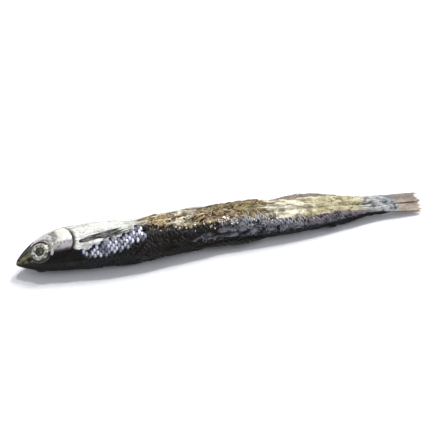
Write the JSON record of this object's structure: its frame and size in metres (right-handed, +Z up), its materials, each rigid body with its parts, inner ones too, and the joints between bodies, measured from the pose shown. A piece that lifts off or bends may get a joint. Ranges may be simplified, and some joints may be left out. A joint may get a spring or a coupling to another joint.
{
  "type": "smoked fish",
  "caption": "Small whole smoked fish lying on its side, with head, eye, gill cover, folded fins and a closed forked tail.",
  "frame": {"origin": "middle of the fish's bounding box, on the surface that it lies on", "axes": "+Z up, -X towards the snout, -Y towards the fish's back; its right flank faces up"},
  "size_m": [0.15, 0.0186, 0.0129],
  "materials": {
    "smoked_skin": "oily, half gloss, with silvery and bluish scales over brown smoked skin"
  },
  "bodies": {
    "root": {"smoked_fish": "smoked_skin"}
  },
  "joints": []
}
